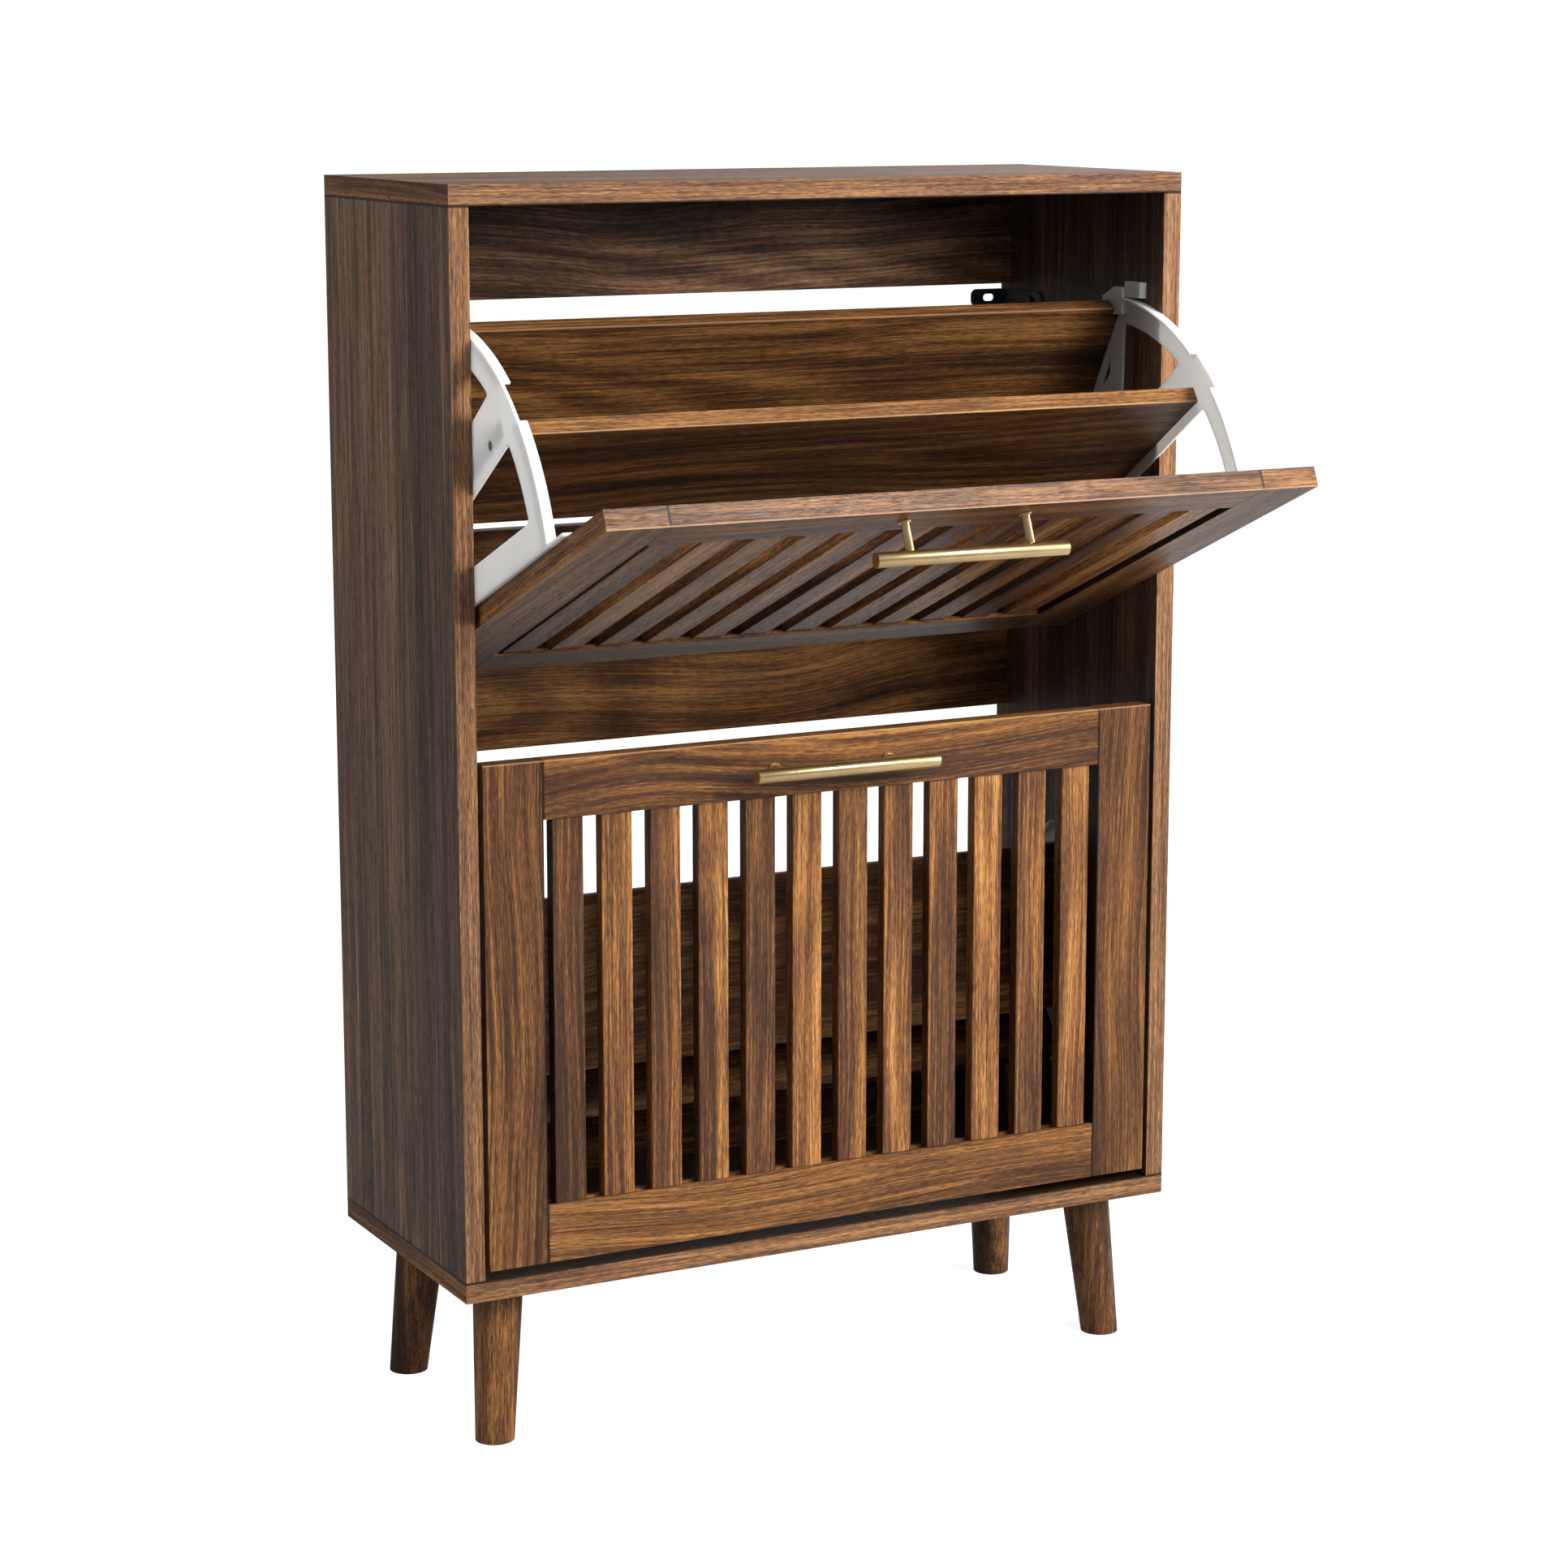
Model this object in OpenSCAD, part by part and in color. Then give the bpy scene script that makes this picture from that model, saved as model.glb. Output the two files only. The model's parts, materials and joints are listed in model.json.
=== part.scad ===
// Shoe cabinet on four splayed legs, with two slatted tilt-out flaps.
// Millimetres. +X right seen from the front, +Y towards the wall, +Z up, floor at z = 0.
// The upper flap is drawn open on its stops and the lower flap is drawn closed.

/* [Cabinet] */
// Overall width
cabinet_w = 600; // [560:10:700]
// Overall height from the floor
cabinet_h = 925; // [900:5:960]
// Depth of the carcass
cabinet_d = 240; // [238:1:250]
// Height of the legs
leg_h = 120; // [100:5:150]
// Thickness of the panels and back rails
panel_t = 15; // [14:0.5:18]
// Height of the top and bottom back rails
end_rail_h = 80; // [60:5:90]
// Height of the middle back rail
mid_rail_h = 171; // [120:1:180]
// Height of the underside of the middle back rail
mid_rail_z = 483; // [470:1:500]

/* [Legs] */
// Radius of a leg at the floor
leg_foot_r = 14.7; // [12:0.1:18]
// Radius of a leg where it meets the bottom panel
leg_top_r = 19; // [16:0.1:24]
// Distance of a foot's centre from the side of the cabinet
foot_inset_x = 35; // [25:1:50]
// Distance of a foot's centre from the front and back of the carcass
foot_inset_y = 34; // [25:1:50]
// How far the top of a leg leans in sideways
lean_x = 9.3; // [0:0.1:20]
// How far the top of a leg leans in front to back
lean_y = 11.8; // [0:0.1:20]

/* [Flap doors] */
// Gap under the lower door
gap_bottom = 7; // [6:0.5:10]
// Gap between the doors
gap_mid = 9; // [8:0.5:12]
// Gap over the upper door
gap_top = 9; // [8:0.5:12]
// Gap at each side of a door
gap_side = 4; // [3.5:0.5:5]
// Thickness of the door frame
door_t = 15; // [14:0.5:16]
// Width of the stiles
stile_w = 46.7; // [40:0.1:55]
// Height of the rails
rail_h = 43.4; // [40:0.1:50]
// Number of slats in a door
slat_count = 12; // [8:1:12]
// Width of a slat
slat_w = 24.6; // [18:0.1:28]
// Thickness of a slat
slat_t = 10.3; // [9:0.1:11]
// How far the slats sit behind the front of the frame
slat_recess = 1.7; // [1:0.1:2.5]

/* [Flap hinge] */
// Distance of the pivot behind the door's front face
pivot_y = 38.5; // [38:0.1:39]
// Height of the pivot over the door's bottom edge
pivot_h = 117; // [116.5:0.1:117.5]
// Opening angle of a flap
open_angle = 67; // [66.5:0.1:67.5]
// Radius of the pivot pins
pin_r = 4; // [3:0.5:5]
// Radial clearance of the pivot pins in the bracket hubs
pin_play = 0.05; // [0.02:0.01:0.1]

/* [Flap boards] */
// Thickness of the boards
board_t = 12; // [10:0.5:12]
// Height of the boards
board_h = 132; // [120:1:132]
// Tilt of the middle board from upright
mid_tilt = 10.9; // [10:0.1:12]
// Tilt of the rear board from upright
rear_tilt = 37.9; // [37:0.1:39]

/* [Side brackets] */
// Thickness of a bracket's plate
plate_t = 2.2; // [1.8:0.1:2.4]
// Gap between a bracket and the side panel
plate_gap = 0.4; // [0.3:0.1:0.6]
// Outer radius of a bracket's arc
arc_r = 200.7; // [200:0.1:201]
// Inner radius of the rim beside the front window
front_window_r = 177.5; // [170:0.5:182]
// Inner radius of the rim beside the rear window
rear_window_r = 180; // [172:0.5:184]
// Thickness of the flange round the arc
flange_t = 2; // [1.5:0.1:3]
// How far the flange stands in from the plate
flange_w = 5.4; // [4:0.1:6]

/* [Handles] */
// Length of the handle bar
bar_l = 152; // [140:1:170]
// Radius of the handle bar
bar_r = 5.4; // [4:0.1:7]
// Distance of the bar's axis from the door
bar_off = 26.5; // [22:0.5:32]
// Spacing of the handle posts
post_pitch = 96; // [64:32:128]
// Radius of the handle posts
post_r = 3; // [2.5:0.1:4]

/* [Wall brackets] */
// Height of a wall bracket's strip
strip_h = 14; // [12:0.5:16]
// Thickness of the strip
strip_t = 2; // [1.5:0.1:2.5]
// Length of the strip along the wall
tab_l = 29; // [26:1:40]
// Length of the strip along the side panel
arm_l = 65; // [55:1:70]
// Height of the strip's centre line
strip_z = 818; // [815:1:820]

/* [Hidden] */
$fn = 64;
eps = 0.01;
snug = 0.03;

walnut = [0.36, 0.22, 0.13];
walnut_dark = [0.29, 0.18, 0.11];
brass_tone = [0.79, 0.62, 0.32];
plastic_white = [0.92, 0.92, 0.90];
steel_tone = [0.72, 0.72, 0.74];
steel_black = [0.10, 0.10, 0.11];
beech_tone = [0.80, 0.66, 0.46];

// Carcass
half_w = cabinet_w / 2;
inner_x = half_w - panel_t;
floor_z = leg_h + panel_t;
ceiling_z = cabinet_h - panel_t;
rail_y = cabinet_d - panel_t;

// Doors
door_h = (ceiling_z - floor_z - gap_bottom - gap_mid - gap_top) / 2;
door_half_w = inner_x - gap_side;
inner_door_x = door_half_w - stile_w;
slat_pitch = 2 * inner_door_x / slat_count;
lower_z = floor_z + gap_bottom;
upper_z = lower_z + door_h + gap_mid;
tenon_t = 6;
tenon_l = 8;
tenon_y = slat_recess + (slat_t - tenon_t) / 2;

// The row's origin is under the middle of the whole box, open flap included.
front_y = pivot_y - pivot_y * cos(open_angle) - (door_h - pivot_h) * sin(open_angle);
mid_y = (front_y + cabinet_d) / 2;

// Boards: top front corner of each, from the door's front face and bottom edge
mid_top = [106.3, 247.7];
rear_top = [207.7, 170.7];
board_play = 0.2;
board_half_w = inner_x - plate_gap - plate_t - board_play;
board_screw_in = 25;

// Brackets, in the closed door's frame: [behind the front face, over the bottom edge]
plate_x = inner_x - plate_gap - plate_t;
arc_c = [36.5, 86.3];
rear_limit = cabinet_d - panel_t - 2;
hub_r = 12;
foot_low = 40;
foot_top = 314;
foot_w = 20;
foot_t = 2.4;
foot_screw_z = [62, 205, 300];
foot_screw_x = 12;
front_window = [[39.1, 140], [39.1, 300], [109.4, 300], [76.9, 140]];
rear_window = [[118, 142], [158, 300], [260, 300], [260, 201.6], [132, 142]];
small_window = [[159, 120.5], [180, 145], [165, 138]];
lower_edge = [141.6, 54.8];
rear_edge = [222.5, 157.4];
flange_gap = [58.5, 68.9];

// Stops: the hook's leading edge meets the block's back face when the flap is open.
block_y = 22.6;
block_l = 21.8;
block_z = 303;
block_h = 12;
block_w = 6;
stop_play = 0.3;
hook_y = block_y + block_l + stop_play;
hook_open = [[hook_y, 290], [hook_y, 310.4], [57, 310.4], [71.2, 303.1], [73.6, 298.5], [69, 288]];

// Fasteners
dowel_r = 4;
door_dowel_r = 3;
cam_r = 7.5;
cam_depth = 11.5;
cam_in = 24;
insert_r = 5.5;
insert_l = 12;
leg_bolt_r = 4;
leg_bolt_in = 30;
panel_dowel_y = [40, 120, 200];
door_dowel_z = [12, 28];
rail_names = ["bottom", "mid", "top"];
rail_base = [floor_z, mid_rail_z, ceiling_z - end_rail_h];
rail_size = [end_rail_h, mid_rail_h, end_rail_h];

// Point p of the closed flap's side view, turned by angle a about the pivot
function turned(p, a) = [
    pivot_y + (p[0] - pivot_y) * cos(a) - (p[1] - pivot_h) * sin(a),
    pivot_h + (p[0] - pivot_y) * sin(a) + (p[1] - pivot_h) * cos(a)
];

// Heights of the dowels and of the cam in back rail k
function rail_dowel_z(k) = k == 1
    ? [rail_base[k] + 25, rail_base[k] + rail_size[k] - 25]
    : [rail_base[k] + 20];
function rail_cam_z(k) = rail_base[k] + (k == 1 ? rail_size[k] / 2 : rail_size[k] - 25);

// ---------- Frames ----------

module placed() {
    translate([0, -mid_y, 0]) children();
}

// A closed flap's frame: y = 0 on the door's front face, z = 0 on its bottom edge
module flap(base_z, angle) {
    placed()
        translate([0, pivot_y, base_z + pivot_h])
        rotate([angle, 0, 0])
        translate([0, -pivot_y, -pivot_h])
        children();
}

module upper() {
    flap(upper_z, open_angle) children();
}

module lower() {
    flap(lower_z, 0) children();
}

// side is -1 for the left and 1 for the right
module on_side(side) {
    mirror([side < 0 ? 1 : 0, 0, 0]) children();
}

module both_sides() {
    for (side = [-1, 1]) on_side(side) children();
}

// Side view drawn in [y, z], given its thickness along x from x = x0
module side_slab(x0, thickness) {
    translate([x0, 0, 0]) rotate([90, 0, 90]) linear_extrude(thickness) children();
}

module rod_x(x0, x1, r) {
    translate([x0, 0, 0]) rotate([0, 90, 0]) cylinder(h = x1 - x0, r = r);
}

module rod_y(y0, y1, r) {
    translate([0, y0, 0]) rotate([-90, 0, 0]) cylinder(h = y1 - y0, r = r);
}

module rounded_rect(w, h, r) {
    translate([r, 0]) square([w - 2 * r, h]);
    translate([0, r]) square([w, h - 2 * r]);
    for (x = [r, w - r], y = [r, h - r]) translate([x, y]) circle(r = r);
}

module slot_2d(length, width) {
    square([length - width, width], center = true);
    for (x = [-1, 1]) translate([x * (length - width) / 2, 0]) circle(d = width);
}

// ---------- Carcass ----------

module end_panel(z0) {
    color(walnut) placed() difference() {
        translate([-half_w, 0, z0]) cube([cabinet_w, cabinet_d, panel_t]);
        panel_dowel_shapes(snug);
        if (z0 == leg_h) leg_insert_shapes(snug);
    }
}

module side_panel(side) {
    color(walnut_dark) placed() difference() {
        on_side(side) translate([inner_x, 0, floor_z])
            cube([panel_t, cabinet_d, ceiling_z - floor_z]);
        panel_dowel_shapes(snug);
        rail_dowel_shapes(snug);
        cam_bolt_shapes(snug);
        for (base = [lower_z, upper_z]) {
            pivot_pin_shapes(base, snug);
            stop_block_shapes(base, snug);
        }
        wall_screw_shapes(snug);
    }
}

module back_rail(k) {
    color(walnut) placed() difference() {
        translate([-inner_x, rail_y, rail_base[k]])
            cube([2 * inner_x, panel_t, rail_size[k]]);
        rail_dowel_shapes(snug);
        cam_bolt_shapes(snug);
        cam_shapes(snug);
    }
}

// Upright dowels between the side panels and the top and bottom panels
module panel_dowel_shapes(grow) {
    both_sides()
        for (y = panel_dowel_y, z = [floor_z - 11, ceiling_z - 19])
            translate([half_w - panel_t / 2, y, z - grow])
                cylinder(h = 30 + 2 * grow, r = dowel_r + grow);
}

module rail_dowel_shapes(grow) {
    both_sides()
        for (k = [0:2], z = rail_dowel_z(k))
            translate([0, rail_y + panel_t / 2, z])
                rod_x(inner_x - 20 - grow, inner_x + 10 + grow, dowel_r + grow);
}

module cam_bolt_shapes(grow) {
    both_sides()
        for (k = [0:2])
            translate([0, rail_y + panel_t / 2, rail_cam_z(k)])
                rod_x(inner_x - cam_in + cam_r + 0.2, inner_x + 11 + grow, 3 + grow);
}

module cam_shapes(grow) {
    both_sides()
        for (k = [0:2])
            translate([inner_x - cam_in, 0, rail_cam_z(k)])
                rod_y(cabinet_d - cam_depth - grow, cabinet_d + (grow > 0 ? 1 : 0), cam_r + grow);
}

module top_panel() {
    end_panel(ceiling_z);
}

module bottom_panel() {
    end_panel(leg_h);
}

module left_side_panel() {
    side_panel(-1);
}

module right_side_panel() {
    side_panel(1);
}

module top_back_rail() {
    back_rail(2);
}

module mid_back_rail() {
    back_rail(1);
}

module bottom_back_rail() {
    back_rail(0);
}

module panel_dowels() {
    color(beech_tone) placed() {
        panel_dowel_shapes(0);
        rail_dowel_shapes(0);
    }
}

// Cam discs with a cross slot in their open face
module rail_cams() {
    color(steel_tone) placed() difference() {
        cam_shapes(0);
        both_sides()
            for (k = [0:2], turn = [0, 90])
                translate([inner_x - cam_in, cabinet_d, rail_cam_z(k)])
                    rotate([0, turn, 0]) cube([9, 5, 1.6], center = true);
    }
}

module rail_cam_bolts() {
    color(steel_tone) placed() cam_bolt_shapes(0);
}

// ---------- Legs ----------

// fore is -1 for a front leg and 1 for a rear leg
module at_leg(side, fore) {
    on_side(side)
        translate([0, fore < 0 ? 0 : cabinet_d, 0])
        mirror([0, fore < 0 ? 0 : 1, 0])
        children();
}

module leg_insert_shapes(grow) {
    for (side = [-1, 1], fore = [-1, 1])
        at_leg(side, fore)
            translate([half_w - foot_inset_x - lean_x, foot_inset_y + lean_y, leg_h - grow])
                cylinder(h = insert_l + 2 * grow, r = insert_r + grow);
}

module leg_bolt_shapes(grow) {
    for (side = [-1, 1], fore = [-1, 1])
        at_leg(side, fore)
            translate([half_w - foot_inset_x - lean_x, foot_inset_y + lean_y, leg_h - leg_bolt_in - grow])
                cylinder(h = leg_bolt_in + insert_l - 1 + 2 * grow, r = leg_bolt_r + grow);
}

// A tapered round leg that leans in both ways, cut flat at the floor and at the panel
module leg(side, fore) {
    spread = sqrt(lean_x * lean_x + lean_y * lean_y);
    tilt = atan2(spread, leg_h);
    length = sqrt(spread * spread + leg_h * leg_h);
    over = 20;
    slope = (leg_top_r - leg_foot_r) / length;
    color(walnut) placed() difference() {
        at_leg(side, fore) intersection() {
            translate([half_w - foot_inset_x, foot_inset_y, 0])
                rotate([0, 0, atan2(lean_y, -lean_x)])
                rotate([0, tilt, 0])
                translate([0, 0, -over])
                cylinder(h = length + 2 * over, r1 = leg_foot_r - slope * over, r2 = leg_top_r + slope * over);
            translate([half_w - 120, -80, 0]) cube([200, 240, leg_h]);
        }
        leg_bolt_shapes(snug);
    }
}

module front_left_leg() {
    leg(-1, -1);
}

module front_right_leg() {
    leg(1, -1);
}

module rear_left_leg() {
    leg(-1, 1);
}

module rear_right_leg() {
    leg(1, 1);
}

module leg_bolts() {
    color(steel_tone) placed() leg_bolt_shapes(0);
}

module leg_inserts() {
    color(steel_tone) placed() difference() {
        leg_insert_shapes(0);
        leg_bolt_shapes(snug);
    }
}

// ---------- Wall brackets ----------

arm_slot_l = 49;
arm_slot_w = 5;
arm_slot_y = cabinet_d - 31.5;
tab_slot_l = 10.4;
tab_slot_w = 5.8;
tab_slot_x = 271.9 - 285 + inner_x;
wall_screw_y = arm_slot_y - 15;

module wall_bracket(side) {
    color(steel_black) placed() on_side(side) {
        difference() {
            translate([inner_x - tab_l, cabinet_d, strip_z - strip_h / 2])
                rotate([90, 0, 0]) linear_extrude(strip_t) union() {
                    rounded_rect(tab_l, strip_h, 5);
                    translate([tab_l - 8, 0]) square([8, strip_h]);
                }
            translate([tab_slot_x, cabinet_d + 1, strip_z])
                rotate([90, 0, 0]) linear_extrude(strip_t + 2) slot_2d(tab_slot_l, tab_slot_w);
        }
        side_slab(inner_x - strip_t, strip_t) difference() {
            translate([cabinet_d - arm_l, strip_z - strip_h / 2]) union() {
                rounded_rect(arm_l - strip_t, strip_h, 5);
                translate([arm_l - strip_t - 8, 0]) square([8, strip_h]);
            }
            translate([arm_slot_y, strip_z]) slot_2d(arm_slot_l, arm_slot_w);
        }
    }
}

module wall_screw_shapes(grow) {
    both_sides()
        translate([0, wall_screw_y, strip_z])
            rod_x(inner_x - strip_t - eps, inner_x + 11 + grow, 2 + grow);
}

module left_wall_bracket() {
    wall_bracket(-1);
}

module right_wall_bracket() {
    wall_bracket(1);
}

module wall_bracket_screws() {
    color(steel_black) placed() {
        wall_screw_shapes(0);
        both_sides()
            translate([0, wall_screw_y, strip_z])
                rod_x(inner_x - strip_t - 1.4, inner_x - strip_t, 3.6);
    }
}

// ---------- Pivots and stops, fixed to the side panels ----------

pin_in = 11;
pin_head_r = 7;
pin_head_t = 2.5;
hub_x = plate_x - flange_w;

module pivot_pin_shapes(base, grow) {
    both_sides()
        translate([0, pivot_y, base + pivot_h])
            rod_x(hub_x - 0.3, inner_x + pin_in + grow, pin_r + grow);
}

module pivot_pins(base) {
    color(steel_tone) placed() {
        pivot_pin_shapes(base, 0);
        both_sides()
            translate([0, pivot_y, base + pivot_h])
                rod_x(hub_x - 0.3 - pin_head_t, hub_x - 0.3, pin_head_r);
    }
}

module upper_pivot_pins() {
    pivot_pins(upper_z);
}

module lower_pivot_pins() {
    pivot_pins(lower_z);
}

// Pegs that hold a stop block in the side panel
module stop_block_shapes(base, grow) {
    both_sides()
        for (y = [5, block_l - 5])
            translate([0, block_y + y, base + block_z + block_h / 2])
                rod_x(inner_x - 1, inner_x + 8 + grow, 2.5 + grow);
}

module stop_blocks(base) {
    color(plastic_white) placed() {
        both_sides()
            translate([inner_x - block_w, block_y, base + block_z])
                cube([block_w, block_l, block_h]);
        stop_block_shapes(base, 0);
    }
}

module upper_stop_blocks() {
    stop_blocks(upper_z);
}

module lower_stop_blocks() {
    stop_blocks(lower_z);
}

// ---------- Flap: door ----------

module door_dowel_shapes(grow) {
    both_sides()
        for (z = door_dowel_z, top = [0, 1])
            translate([0, door_t / 2, top == 0 ? z : door_h - z])
                rod_x(inner_door_x - 15 - grow, inner_door_x + 15 + grow, door_dowel_r + grow);
}

module handle_screw_holes() {
    for (side = [-1, 1])
        translate([side * post_pitch / 2, 0, door_h - rail_h / 2])
            rod_y(-1, door_t + 1, 2 + snug);
}

module foot_screw_shapes(grow) {
    both_sides()
        for (z = foot_screw_z)
            translate([plate_x - foot_screw_x, 0, z])
                rod_y(4 - grow, door_t + foot_t + eps, 1.75 + grow);
}

module stile(side) {
    color(walnut) difference() {
        on_side(side) translate([inner_door_x, 0, 0]) cube([stile_w, door_t, door_h]);
        door_dowel_shapes(snug);
        foot_screw_shapes(snug);
    }
}

// Rails have a groove along the inner edge for the slats' tenons
module door_rail(at_top) {
    z0 = at_top ? door_h - rail_h : 0;
    groove_z = at_top ? z0 - eps : z0 + rail_h - tenon_l - 0.2;
    color(walnut) difference() {
        translate([-inner_door_x, 0, z0]) cube([2 * inner_door_x, door_t, rail_h]);
        translate([-inner_door_x - 1, tenon_y - 0.05, groove_z])
            cube([2 * inner_door_x + 2, tenon_t + 0.1, tenon_l + 0.2 + eps]);
        door_dowel_shapes(snug);
        if (at_top) handle_screw_holes();
    }
}

module slats() {
    color(walnut)
        for (i = [0:slat_count - 1])
            translate([(i + 0.5 - slat_count / 2) * slat_pitch - slat_w / 2, 0, 0]) {
                translate([0, slat_recess, rail_h])
                    cube([slat_w, slat_t, door_h - 2 * rail_h]);
                translate([0, tenon_y, rail_h - tenon_l])
                    cube([slat_w, tenon_t, door_h - 2 * rail_h + 2 * tenon_l]);
            }
}

module door_dowels() {
    color(beech_tone) door_dowel_shapes(0);
}

// ---------- Flap: boards ----------

module board_frame(top, tilt) {
    translate([0, top[0], top[1]]) rotate([-tilt, 0, 0]) children();
}

module board_screw_shapes(grow) {
    for (b = [[mid_top, mid_tilt], [rear_top, rear_tilt]])
        board_frame(b[0], b[1])
            both_sides()
                for (z = [-board_screw_in, board_screw_in - board_h])
                    translate([0, board_t / 2, z]) {
                        rod_x(board_half_w - 24 - grow, plate_x + plate_t, 1.6 + grow);
                        translate([plate_x + plate_t - 1.8, 0, 0]) rotate([0, 90, 0])
                            cylinder(h = 1.8 + grow / 10, r1 = 1.6 + grow, r2 = 3.4 + grow);
                    }
}

module board(top, tilt) {
    color(walnut) difference() {
        board_frame(top, tilt)
            translate([-board_half_w, 0, -board_h])
            cube([2 * board_half_w, board_t, board_h]);
        board_screw_shapes(snug);
    }
}

module board_screws() {
    color(steel_tone) board_screw_shapes(0);
}

// ---------- Flap: side brackets ----------

// Everything of the bracket's outline except the rounded edge
module bracket_limits() {
    polygon([
        [door_t, foot_low], [door_t, 320], [rear_limit, 320], [rear_limit, rear_edge[1]],
        rear_edge, lower_edge, [60, foot_low]
    ]);
}

module arc_disc(r) {
    translate(arc_c) circle(r = r, $fn = 128);
}

module window_2d(points, r) {
    intersection() {
        polygon(points);
        arc_disc(r);
    }
}

module hook_2d() {
    polygon([for (p = hook_open) turned(p, -open_angle)]);
}

// The part of the hook that stands in from the plate, clear of the rear board's end
module hook_rim_2d() {
    difference() {
        hook_2d();
        translate(rear_top) rotate(-rear_tilt)
            translate([-board_play, -board_h]) square([board_t + 2 * board_play, board_h + board_play]);
    }
}

module plate_2d() {
    difference() {
        union() {
            intersection() {
                arc_disc(arc_r);
                bracket_limits();
            }
            hook_2d();
        }
        window_2d(front_window, front_window_r);
        window_2d(rear_window, rear_window_r);
        polygon(small_window);
    }
}

// Strip round the arc, left out where the middle board is slid in
module flange_2d() {
    reach = 260;
    a = flange_gap[0];
    b = flange_gap[1];
    difference() {
        intersection() {
            arc_disc(arc_r);
            bracket_limits();
            translate([door_t, arc_c[1] + 60]) square([rear_limit - door_t, 200]);
        }
        arc_disc(arc_r - flange_t);
        translate(arc_c)
            polygon([[0, 0], reach * [cos(a), sin(a)], reach * [cos(b), sin(b)]]);
    }
}

module bracket(side) {
    color(plastic_white) difference() {
        on_side(side) union() {
            side_slab(plate_x, plate_t) plate_2d();
            side_slab(hub_x, flange_w) flange_2d();
            side_slab(hub_x, flange_w) hook_rim_2d();
            translate([0, pivot_y, pivot_h]) rod_x(hub_x, plate_x, hub_r);
            translate([plate_x + plate_t - foot_w, door_t, foot_low])
                cube([foot_w, foot_t, foot_top - foot_low]);
        }
        both_sides()
            translate([0, pivot_y, pivot_h]) rod_x(hub_x - 1, inner_x, pin_r + pin_play);
        foot_screw_shapes(snug);
        board_screw_shapes(snug);
    }
}

module bracket_screws() {
    color(steel_tone) {
        foot_screw_shapes(0);
        both_sides()
            for (z = foot_screw_z)
                translate([plate_x - foot_screw_x, 0, z])
                    rod_y(door_t + foot_t, door_t + foot_t + 1.8, 3.4);
    }
}

// ---------- Flap: handle ----------

module at_handle() {
    translate([0, -bar_off, door_h - rail_h / 2]) children();
}

module handle_bar() {
    color(brass_tone) at_handle() rod_x(-bar_l / 2, bar_l / 2, bar_r);
}

// Posts saddle the bar, and are tapped for the screws from behind
module handle_posts() {
    color(brass_tone) difference() {
        at_handle()
            for (side = [-1, 1])
                translate([side * post_pitch / 2, 0, 0]) {
                    rod_y(0, bar_off, post_r);
                    rod_y(bar_off - 1.5, bar_off, post_r + 1.6);
                }
        at_handle() rod_x(-bar_l, bar_l, bar_r + snug);
        for (side = [-1, 1])
            translate([side * post_pitch / 2, 0, door_h - rail_h / 2])
                rod_y(-8 - snug, 1, 2 + snug);
    }
}

module handle_screws() {
    color(steel_tone)
        for (side = [-1, 1])
            translate([side * post_pitch / 2, 0, door_h - rail_h / 2]) {
                rod_y(-8, door_t, 2);
                rod_y(door_t, door_t + 2, 4.2);
            }
}

// ---------- Drawing ----------

top_panel();
bottom_panel();
left_side_panel();
right_side_panel();
top_back_rail();
mid_back_rail();
bottom_back_rail();
panel_dowels();
rail_cams();
rail_cam_bolts();
front_left_leg();
front_right_leg();
rear_left_leg();
rear_right_leg();
leg_bolts();
leg_inserts();
left_wall_bracket();
right_wall_bracket();
wall_bracket_screws();
upper_stop_blocks();
lower_stop_blocks();
upper_pivot_pins();
lower_pivot_pins();

upper() stile(-1);  // upper_left_stile
upper() stile(1);  // upper_right_stile
upper() door_rail(true);  // upper_top_rail
upper() door_rail(false);  // upper_bottom_rail
upper() slats();  // upper_slats
upper() door_dowels();  // upper_door_dowels
upper() board(mid_top, mid_tilt);  // upper_middle_board
upper() board(rear_top, rear_tilt);  // upper_rear_board
upper() bracket(-1);  // upper_left_bracket
upper() bracket(1);  // upper_right_bracket
upper() bracket_screws();  // upper_bracket_screws
upper() board_screws();  // upper_board_screws
upper() handle_bar();  // upper_handle_bar
upper() handle_posts();  // upper_handle_posts
upper() handle_screws();  // upper_handle_screws

lower() stile(-1);  // lower_left_stile
lower() stile(1);  // lower_right_stile
lower() door_rail(true);  // lower_top_rail
lower() door_rail(false);  // lower_bottom_rail
lower() slats();  // lower_slats
lower() door_dowels();  // lower_door_dowels
lower() board(mid_top, mid_tilt);  // lower_middle_board
lower() board(rear_top, rear_tilt);  // lower_rear_board
lower() bracket(-1);  // lower_left_bracket
lower() bracket(1);  // lower_right_bracket
lower() bracket_screws();  // lower_bracket_screws
lower() board_screws();  // lower_board_screws
lower() handle_bar();  // lower_handle_bar
lower() handle_posts();  // lower_handle_posts
lower() handle_screws();  // lower_handle_screws
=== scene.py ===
"""Looks of the shoe cabinet: materials, edge detail, moulded brackets, light and camera.

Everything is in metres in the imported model's frame: +X right, +Y to the wall, +Z up, floor at z = 0.
"""

import json
import math

import bmesh
import bpy
from mathutils import Matrix, Vector


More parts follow.
